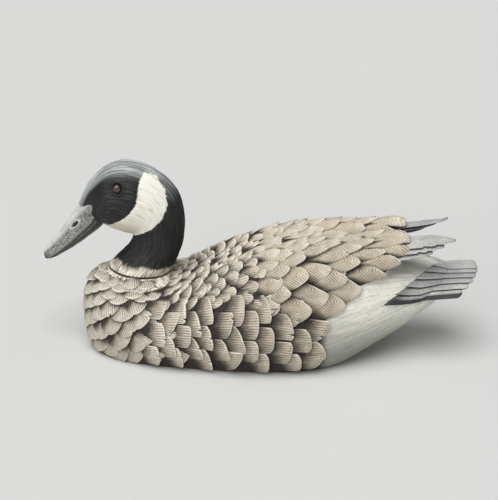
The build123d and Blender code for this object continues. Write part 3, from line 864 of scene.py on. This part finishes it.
# Edge of the white cheek seen from the side, in mm.
CHEEK = [
    (-51.0, 82.8), (-52.9, 79), (-53.4, 74), (-54.4, 69), (-58.4, 63.9), (-65.4, 59.6), (-71.5, 58.0),
    (-70, 53), (-58.5, 52.3), (-55.0, 53.4), (-48.2, 57.2), (-42.9, 62), (-40.6, 68), (-41.8, 75),
    (-46, 80.8)]
CHEEK_FULLNESS = 0.42         # how much wider the head is below its middle than above
EYE = (-62.5, 10.5, 76.5)
EYE_RADIUS = 2.0
NOSTRIL = (-84.1, 57.4)
BILL_DOWN = math.radians(44)


def inside(polygon, x, z):
    """Signed distance into a polygon, in its own units."""
    polygon = np.array(polygon, float)
    nearest, crossings = np.full(x.shape, np.inf), np.zeros(x.shape, int)
    for (ax, az), (bx, bz) in zip(polygon, np.roll(polygon, -1, axis=0)):
        dx, dz = bx - ax, bz - az
        t = np.clip(((x - ax) * dx + (z - az) * dz) / (dx * dx + dz * dz), 0, 1)
        nearest = np.minimum(nearest, np.hypot(x - ax - t * dx, z - az - t * dz))
        reach = (az > z) != (bz > z)
        crossings += reach & (x < ax + (z - az) * dx / (dz if dz else 1e-9))
    return np.where(crossings % 2, nearest, -nearest)


def strokes(angle, s, count, length, seed):
    """Hair strokes from 0 to 1: fine lines along a sweep, count of them round it."""
    a = angle / (2 * math.pi)
    wander = noise(np.stack([a * 8, s * 5, 0 * s], -1), 1, seed)
    across = a * count + 0.9 * wander
    p = np.stack([across, s * length, 0 * s], -1)
    return 0.5 + 0.5 * (0.65 * noise(p, 1, seed + 1) + 0.35 * noise(p * 2, 1, seed + 2))


def head_and_neck():
    rows, columns = 200, 400
    points, s, v, around = swept(HEAD_SECTIONS, rows, columns, lambda v, a: np.sin(a))
    fullness = smooth(0.3, 0.6, s)
    points[..., 1] *= 1 + CHEEK_FULLNESS * (0.5 - v) * fullness
    x, z = points[..., 0], points[..., 2]
    cheek = inside(CHEEK, x, z) + 0.35 * noise(points * 1.3, 1, 5)
    white = smooth(-0.25, 0.25, cheek)
    hair = strokes(around, s, 250, 16, 3)
    fine = strokes(around, s, 280, 22, 9)
    hair = hair * (1 - white) + fine * white
    from_eye = np.hypot(x - EYE[0], z - EYE[2])
    lid = np.exp(-((from_eye - 2.75) / 0.45) ** 2)
    socket = np.exp(-(from_eye / 2.3) ** 4)
    calm = 1 - np.exp(-(from_eye / 3.4) ** 4)
    ends = smooth(0.0, 0.03, s)
    lower = smooth(0.35, 0.1, v) * fullness
    bulge = 0.5 * white - 0.45 * np.exp(-(cheek / 0.9) ** 2) * (1 - white)
    height = (0.7 * (hair - 0.5) * (1 - 0.5 * white) * calm * ends + 0.42 * lid - 0.55 * socket * (lid < 0.2)
              + 0.35 * bulge * ends)
    above_seat = (x - SEAT_CENTRE[0]) * math.sin(SEAT_LEAN) + (z - SEAT_CENTRE[2]) * math.cos(SEAT_LEAN)
    cream = smooth(0.5, -0.5, above_seat - 3.4 + 2.6 * (hair - 0.5) + 1.2 * noise(points * 0.4, 1, 8))
    points = points + grid_normals(points) * height[..., None]
    # crown marks the painted sheen on top of the head, chin the painted shade on the lower cheek.
    values = {"hair": hair, "white": white, "chin": lower, "cream": cream,
              "crown": smooth(0.80, 0.93, v) * smooth(0.42, 0.6, s)}
    new_piece("head_and_neck", points * MM, ring_faces(rows, columns), PAINT["head"], "head",
              ("neck", "head"), values)


# Height in the bill's section from 0 to 1, and share of its half width there.
BILL_OUTLINE = [(0, 0.0), (0.10, 0.62), (0.24, 0.90), (0.33, 0.97), (0.40, 1.0), (0.58, 0.93), (0.78, 0.70),
                (0.93, 0.38), (1, 0.0)]


def bill():
    rows, columns = 130, 144
    heights, shares = zip(*BILL_OUTLINE)

    def lateral(v, a):
        return np.interp(v, heights, shares) * np.sign(np.sin(a))

    points, s, v, _ = swept(BILL_SECTIONS, rows, columns, lateral)
    points[:, 0, 1] = points[:, columns // 2, 1] = 0
    for _ in range(3):
        y = points[..., 1]
        points[..., 1] = (np.roll(y, 1, 1) + 2 * y + np.roll(y, -1, 1)) / 4
    base = smooth(0.30, 0.0, s)
    lobe = smooth(0.4, 0.8, v) * smooth(1.0, 0.86, v)
    cheeks = smooth(0.16, 0.4, v) * smooth(1.0, 0.9, v)
    down = np.array([-math.cos(BILL_DOWN), 0, -math.sin(BILL_DOWN)])
    points = points - down * (5.5 * base * lobe)[..., None]
    points[..., 1] *= 1 + base * (0.3 * cheeks + 0.5 * lobe)
    normals = grid_normals(points)
    dx, dz = points[..., 0] - NOSTRIL[0], points[..., 2] - NOSTRIL[1]
    lengthwise = dx * down[0] + dz * down[2]
    upwards = dx * down[2] - dz * down[0]
    r = np.hypot(lengthwise / 2.3, upwards / 0.8)
    r = np.where((v > 0.45) & (v < 0.97), r, 9)
    mouth = np.exp(-((v - (0.30 - 0.08 * s)) / 0.028) ** 2) * smooth(1.0, 0.94, s)
    lip = np.exp(-((v - (0.40 - 0.08 * s)) / 0.06) ** 2)
    nail = np.exp(-((s - 0.93) / 0.05) ** 4) * smooth(0.5, 0.8, v)
    rough = noise(points, (0.9, 0.9, 0.9), 21) * 0.10 + noise(points, 2.4, 22) * 0.05
    hollow = np.exp(-((v - 0.66) / 0.12) ** 2) * smooth(0.0, 0.15, s) * smooth(0.85, 0.4, s)
    height = (-0.75 * (1 - smooth(0.55, 1.0, r)) + 0.28 * np.exp(-((r - 1.3) / 0.25) ** 2) - 0.42 * mouth
              + 0.16 * lip + 0.22 * nail - 0.35 * hollow + rough)
    points = points + normals * height[..., None]
    # culmen marks the painted highlight, low the painted shade on the bill's lower sides.
    values = {"culmen": smooth(0.70, 0.92, v), "rim": np.exp(-((r - 1.35) / 0.3) ** 2),
              "hole": 1 - smooth(0.6, 1.0, r), "mouth": mouth, "lip": lip, "low": smooth(0.30, 0.16, v),
              "tip": smooth(0.78, 1.0, s) * smooth(0.95, 0.4, v)}
    new_piece("bill_painted", points * MM, ring_faces(rows, columns), PAINT["bill"], "head",
              ("bill",), values)


def eye(side):
    """Glass ball with rings round the line of sight."""
    rings, segments = 33, 48
    polar = np.linspace(0, math.pi, rings)[1:-1]
    turn = np.linspace(0, 2 * math.pi, segments, endpoint=False)
    radius = np.sin(polar)[:, None] * np.ones(segments) * EYE_RADIUS
    look = np.array([-0.16, side * 0.98, 0.1])
    look = look / np.linalg.norm(look)
    first = unit(np.cross(look, [0, 0, 1]))
    second = np.cross(look, first)
    offset = (look * (np.cos(polar) * EYE_RADIUS)[:, None, None]
              + first * (radius * np.cos(turn))[..., None] + second * (radius * np.sin(turn))[..., None])
    points = np.array(EYE) * (1, side, 1) + offset
    name = SIDE_NAME[side]
    new_piece(f"eye_glass_{name}", points * MM, ring_faces(rings - 2, segments), PAINT["eye"], "head",
              (f"eye_{name}",), {"off": np.repeat(polar, segments)})


# Stations of the rump in mm: X, half width, bottom, widest height, top, as the hull's.
RUMP = np.array([
    (22, 37.4, -6.5, 21.5, 49), (37, 33.4, -2.5, 24.0, 49), (50, 28.0, 4.5, 28.0, 47.6),
    (62, 22.0, 11.5, 30.5, 44.8), (73, 17.0, 19.5, 32.5, 42.7), (82, 12.0, 27.0, 34.0, 40.6),
    (87, 7.0, 32.0, 35.5, 38.8)])
RUMP_SQUARENESS = 3.2         # power of the rump's section below its widest height, where 2 is round
RUMP_RINGS = (150, 460)       # rows along it and points round it


def rump(field):
    """White rump and undertail, with hair strokes along it."""
    rows, columns = RUMP_RINGS
    knots = curve_points(RUMP, np.linspace(0, 1, rows))
    angle = np.linspace(0, 2 * math.pi, columns, endpoint=False) - math.pi / 2
    x, half, bottom, widest, top = (knots[:, k:k + 1] for k in range(5))
    sine, cosine = np.sin(angle), np.cos(angle)
    power = np.where(sine < 0, 2 / RUMP_SQUARENESS, 1.0)
    y = half * np.sign(cosine) * np.abs(cosine) ** power
    rise = np.sign(sine) * np.abs(sine) ** power
    z = widest + rise * np.where(sine < 0, widest - bottom, top - widest)
    points = np.stack([x * np.ones(columns), y, z], axis=-1)
    s, around = np.meshgrid(np.linspace(0, 1, rows), angle + math.pi / 2, indexing="ij")
    for _ in range(3):
        buried = np.clip(0.1 - field.distance(points * MM) / MM, 0, 3)
        points = points + field.normal(points * MM) * buried[..., None]
    hair = strokes(around, s, 330, 9, 31)
    height = 0.4 + 0.3 * (hair - 0.5) * smooth(0, 0.05, 1 - s)
    points = points - grid_normals(points) * height[..., None]
    points[..., 2] = np.maximum(points[..., 2], 0.05)
    # The last two mark the painted shade: near the flanks' rear ends, and low down.
    values = {"hair": hair, "dusk": smooth(33, 28, points[..., 0]), "low": smooth(32, 6, points[..., 2])}
    outwards = [face[::-1] for face in ring_faces(rows, columns)]
    new_piece("rump_painted", points * MM, outwards, PAINT["rump"], "body",
              attributes=values)


TAIL_TIP, TAIL_SLOPE = (100, 40.2), math.tan(math.radians(3))   # X and Z where the ridge ends, in mm
TAIL_FEATHERS = 6             # on each side
# The fan lies on an arch: its radius and the length of one side's arc at each X, in mm.
TAIL_STATIONS = (58, 73, 90, 100)
TAIL_RADIUS, TAIL_SPREAD = (19.5, 20, 25, 27), (17.0, 19.0, 19.0, 19.5)


def both_faces(top):
    """Attributes of a slab's top and of its underside, which is painted dark."""
    values = {key: np.tile(np.ravel(value), 2) for key, value in top.items()}
    values["under"] = np.repeat((0.0, 1.0), len(values["phase"]) // 2)
    return values


def tail():
    """Fan of tail feathers, the middle ones on top, coming out from under the white of the rump."""
    random = np.random.default_rng(71)
    all_vertices, all_faces = [], []
    values = {key: [] for key in ("phase", "shaft", "gap", "edge", "chance", "under")}
    offset = 0
    for side in SIDES:
        for number in range(TAIL_FEATHERS):
            t, u = grid_places(60, 15)
            share = (number + 0.5) / TAIL_FEATHERS
            tip = 99.4 - 10.0 * share ** 2.2
            half = 0.62 / TAIL_FEATHERS * (1 + 0.5 * (number == TAIL_FEATHERS - 1) * (u > 0))
            root = 82 - 24.5 * (share + u * half)
            round_off = np.clip((t - 0.93) / 0.07, 0, 1)
            width = np.sqrt(np.clip(1 - round_off ** 2.2 * (0.55 + 0.25 * np.sign(u)), 0.02, 1))
            x = root + (tip - root) * t
            radius = np.interp(x, TAIL_STATIONS, TAIL_RADIUS)
            angle = (share + u * width * half) * np.interp(x, TAIL_STATIONS, TAIL_SPREAD) / radius
            y = radius * np.sin(angle)
            z = TAIL_TIP[1] + (x - TAIL_TIP[0]) * TAIL_SLOPE - radius * (1 - np.cos(angle))
            wide, bottom, middle, top = (np.interp(x, RUMP[:, 0], RUMP[:, k]) for k in (1, 2, 3, 4))
            power = np.where(z > middle, 2, RUMP_SQUARENESS)
            reach = np.where(z > middle, top - middle, middle - bottom)
            inside_rump = ((y / wide) ** power + (np.abs(z - middle) / reach) ** power) ** (1 / power)
            push = np.maximum(1, (1 + 1.0 / wide) / inside_rump)
            y, z = y * push, middle + (z - middle) * push
            lift = 0.1 + 0.9 * (u + 1) / 2 - 0.25 * number / TAIL_FEATHERS - 1.4 * smooth(0.08, 0.0, t)
            lift = lift + 0.14 * np.exp(-(u / 0.12) ** 2)
            normals = np.stack([0 * x, side * np.sin(angle), np.cos(angle)], axis=-1)
            margin = smooth(0.2, 0.4, u) * (number == TAIL_FEATHERS - 1)
            points = np.stack([x, side * y, z], axis=-1) + normals * lift[..., None]
            vertices, faces = slab(points, normals, np.full(t.shape, 1.4 - 0.5 * round_off))
            all_vertices.append(vertices)
            all_faces.append(faces[:, ::side] + offset)
            offset += len(vertices)
            # Painted shade at the outer feathers' roots, under the rump; painted shadow on the half of each
            # feather that lies under its neighbour nearer the middle.
            root_shade = smooth(0.3, 0.0, t) * smooth(0.35, 0.95, share)
            looks = both_faces({
                "phase": u * 2.2 / 0.75, "shaft": np.exp(-(u / 0.14) ** 2),
                "gap": np.minimum(1, smooth(-0.1, -0.45, u) * (number > 0) + margin + root_shade),
                "edge": np.minimum((1 - np.abs(u)) * 2, (1 - t) * (tip - root)),
                "chance": np.full(t.shape, random.random())})
            for key, value in looks.items():
                values[key].append(value)
    new_piece("tail_feathers", joined(all_vertices) * MM, joined(all_faces), PAINT["quill"], "body",
              ("tail_fan",), joined(values))


# In mm: the first feather's root, length and half width.
PRIMARY_ROOT, PRIMARY_LENGTH, PRIMARY_HALF = (50.0, 11.5, 51.6), 37.5, 5.6
PRIMARY_STEP = (5.0, 0.9, 1.7)     # how much shorter, further out and lower each next one is
PRIMARY_RISE, PRIMARY_ROLL = math.radians(8.5), math.radians(7.5)


def primary(side, number):
    """Wing-tip feather: a pointed blade with a shaft and a few notches."""
    random = np.random.default_rng(90 + number + 10 * (side > 0))
    t, u = grid_places(110, 25)
    length = PRIMARY_LENGTH - PRIMARY_STEP[0] * number
    inner = np.interp(t, (0, 0.6, 0.75, 0.88, 0.96, 1), (1, 1, 0.86, 0.45, 0.0, -0.45)) * PRIMARY_HALF
    outer = -np.interp(t, (0, 0.6, 0.8, 0.93, 1), (1, 1, 0.93, 0.75, 0.5)) * (PRIMARY_HALF + 0.9 * number)
    for notch in (0.62 + 0.02 * number, 0.77, 0.89):
        outer = outer + 0.9 * smooth(notch - 0.006, notch, t) * smooth(notch + 0.10, notch, t)
    y = outer + (inner - outer) * (u + 1) / 2
    z = 1.1 + 0.25 * np.exp(-((u - 0.1) / 0.07) ** 2) + 0.5 * (1 - u ** 2) - 0.35
    x = t * length
    rise, roll = PRIMARY_RISE, -side * PRIMARY_ROLL
    local = np.stack([x, -side * y, z], axis=-1)
    tilt = np.array([[math.cos(rise), 0, -math.sin(rise)], [0, 1, 0], [math.sin(rise), 0, math.cos(rise)]])
    lean = np.array([[1, 0, 0], [0, math.cos(roll), -math.sin(roll)], [0, math.sin(roll), math.cos(roll)]])
    turn = lean @ tilt
    root = np.array([PRIMARY_ROOT[0], side * (PRIMARY_ROOT[1] + PRIMARY_STEP[1] * number),
                     PRIMARY_ROOT[2] - PRIMARY_STEP[2] * number])
    normals = np.broadcast_to(np.array([0, 0, 1.0]), local.shape)
    vertices, faces = slab(local, normals, 0.25 + 0.85 * (1 - u ** 2) * (1 - 0.5 * t))
    vertices = vertices @ turn.T + root
    edge = np.minimum((1 - np.abs(u)) * PRIMARY_HALF, (1 - t) * length)
    phase = (x - 1.6 * np.abs(u - 0.1) * PRIMARY_HALF) / 1.8
    values = both_faces({
        "phase": phase, "shaft": np.exp(-((u - 0.1) / 0.08) ** 2), "gap": 0 * u, "edge": edge,
        "chance": np.full(t.shape, random.random())})
    name = f"primary_{SIDE_NAME[side]}_{number + 1}"
    new_piece(f"{name}_painted", vertices * MM, faces, PAINT["quill"], "body", (name,), values)


COLLAR_INNER, COLLAR_OUTER = 14.62, 21.5     # radii in mm


def collar(field):
    """Cream ring of hair strokes on the body round the neck's foot."""
    rows, columns = 16, 640
    axis = np.array([math.sin(SEAT_LEAN), 0, math.cos(SEAT_LEAN)])
    forward = np.array([math.cos(SEAT_LEAN), 0, -math.sin(SEAT_LEAN)])
    turn = np.linspace(0, 2 * math.pi, columns, endpoint=False)
    t, turn = np.meshgrid(np.linspace(0, 1, rows), turn, indexing="ij")
    radius = COLLAR_INNER + (COLLAR_OUTER - COLLAR_INNER) * t
    points = (np.array(SEAT_CENTRE) + forward * (radius * np.cos(turn))[..., None]
              + np.array([0, 1, 0]) * (radius * np.sin(turn))[..., None]) * MM
    for _ in range(8):
        uphill = np.maximum(field.normal(points) @ axis, 0.35)
        points = points - axis * (field.distance(points) / uphill)[..., None]
    hair = strokes(turn, t, 210, 2.2, 61)
    height = 0.3 + 0.5 * (hair - 0.5) * smooth(0.0, 0.2, t) - 1.3 * smooth(0.7, 1.0, t + 0.25 * (hair - 0.5))
    lower = points - axis * 1.6 * MM
    points = points + axis * (height * MM)[..., None]
    loop = np.concatenate([points, lower[::-1]])
    here = np.arange(2 * rows * columns).reshape(2 * rows, columns)
    out = np.roll(here, -1, axis=0)
    faces = np.stack([here, out, np.roll(out, -1, axis=1), np.roll(here, -1, axis=1)], axis=-1).reshape(-1, 4)
    new_piece("collar", loop, faces, PAINT["collar"], "body", (),
              {"hair": np.concatenate([hair, hair[::-1]]), "out": np.concatenate([t, t[::-1]])})


# ---------------------------------------------------------------- stage
WORLD_LIGHT, WORLD_SEEN = 0.30, 0.84         # strength as a light, and where the camera sees it
# Name, direction it comes from, power and angular width in degrees.
LAMPS = (("key", (-0.12, -0.34, 0.93), 2.45, 50), ("fill", (-0.5, -0.95, 0.4), 0.78, 40))


def aimed(name, data, come_from):
    """Lamp or camera that looks along the way it comes from."""
    made = bpy.data.objects.new(name, data)
    bpy.context.scene.collection.objects.link(made)
    made.rotation_mode = "QUATERNION"
    made.rotation_quaternion = (-Vector(come_from)).to_track_quat("-Z", "Y")
    return made


def stage():
    """Pale floor, soft light from above and a softer one from the bird's front left."""
    bpy.ops.mesh.primitive_plane_add(size=30, location=(0, 0, 0))
    floor = bpy.context.object
    floor.name = "floor"
    p = Paint("floor_paint")
    cloud = p.noise(2)
    colour = p.mix(cloud, rgb(208, 208, 206), rgb(214, 214, 212))
    floor.data.materials.append(p.finish(colour, cloud, 0.9, 0.9))
    world = bpy.data.worlds.new("studio")
    bpy.context.scene.world = world
    world.use_nodes = True
    tree = world.node_tree
    background = tree.nodes["Background"]
    background.inputs["Color"].default_value = (0.92, 0.93, 0.95, 1)
    seen = tree.nodes.new("ShaderNodeLightPath")
    strength = tree.nodes.new("ShaderNodeMapRange")
    strength.inputs["To Min"].default_value = WORLD_LIGHT
    strength.inputs["To Max"].default_value = WORLD_SEEN
    tree.links.new(seen.outputs["Is Camera Ray"], strength.inputs["Value"])
    tree.links.new(strength.outputs["Result"], background.inputs["Strength"])
    for name, come_from, power, spread in LAMPS:
        data = bpy.data.lights.new(name, "SUN")
        data.energy, data.angle = power, math.radians(spread)
        aimed(name, data, come_from)


def camera():
    """The photo's view: azimuth, elevation and half the angle of view in degrees."""
    target, distance, azimuth, elevation, half_view = Vector((-0.0046, 0, 0.045)), 0.462, 4.0, 20.8, 14.0
    a, e = math.radians(azimuth), math.radians(elevation)
    back = Vector((math.sin(a) * math.cos(e), -math.cos(a) * math.cos(e), math.sin(e)))
    data = bpy.data.cameras.new("camera")
    data.sensor_width = 36
    data.lens = data.sensor_width / 2 / math.tan(math.radians(half_view))
    data.clip_start, data.clip_end = 0.01, 50
    made = aimed("camera", data, back)
    made.location = target + back * distance
    bpy.context.scene.camera = made


bpy.context.scene.view_settings.view_transform = "Standard"
stage()
camera()
SIDE_NAME = {-1: "left", 1: "right"}
PAINT = {
    "feather": feather_paint(), "skin": gap_shade_paint(), "rump": rump_paint(), "head": head_paint(),
    "bill": bill_paint(), "quill": quill_paint(), "eye": eye_paint(), "collar": collar_paint()}
FIELD = body_field()
paint_hardware()
skin_vertices, skin_quads = FIELD.mesh(0.1 * MM, 1.6 * MM)
# The skin shows only between the feathers; its near-black paint is painted shade there.
new_piece("body_skin", skin_vertices, skin_quads, PAINT["skin"], "body", ("upper_body",))
for one_side in SIDES:
    breast(FIELD, one_side)
    flank(FIELD, one_side)
    mantle(FIELD, one_side)
    tertials(FIELD, one_side)
    eye(one_side)
    for number in range(3):
        primary(one_side, number)
collar(FIELD)
head_and_neck()
bill()
rump(FIELD)
tail()
